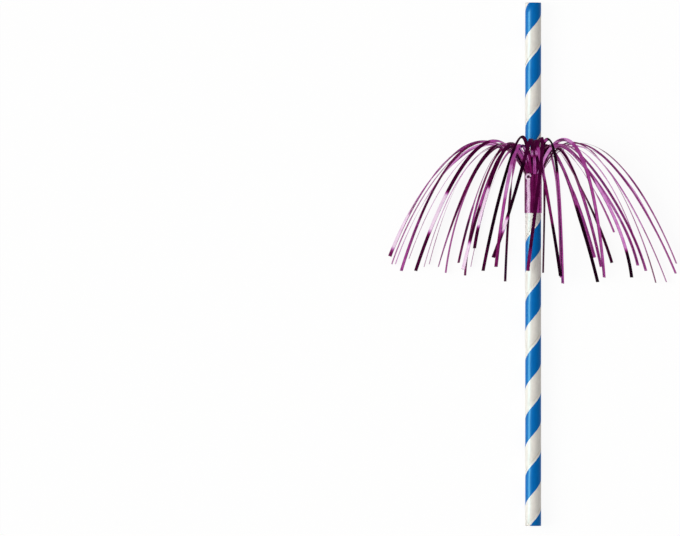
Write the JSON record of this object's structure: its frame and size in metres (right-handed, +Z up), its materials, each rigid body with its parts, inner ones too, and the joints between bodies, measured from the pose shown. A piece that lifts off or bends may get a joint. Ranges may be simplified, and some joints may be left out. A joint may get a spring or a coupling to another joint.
{
  "type": "paper drinking straw with foil fringe",
  "caption": "Straight spiral-wound paper drinking straw with a palm-shaped fringe of slit foil film wound round its upper half.",
  "frame": {"origin": "on the surface that the straw lies on, straight under the middle of the straw", "axes": "+Y along the straw towards its mouth end, +Z up, +X to the right of the fringe seen from above"},
  "size_m": [0.109, 0.197, 0.0177],
  "materials": {
    "paper": "uncoated white paper with a printed blue spiral stripe",
    "foil": "metallised magenta film, mirror bright"
  },
  "bodies": {
    "root": {"paper_straw": "paper", "foil_fringe": "foil"}
  },
  "joints": []
}
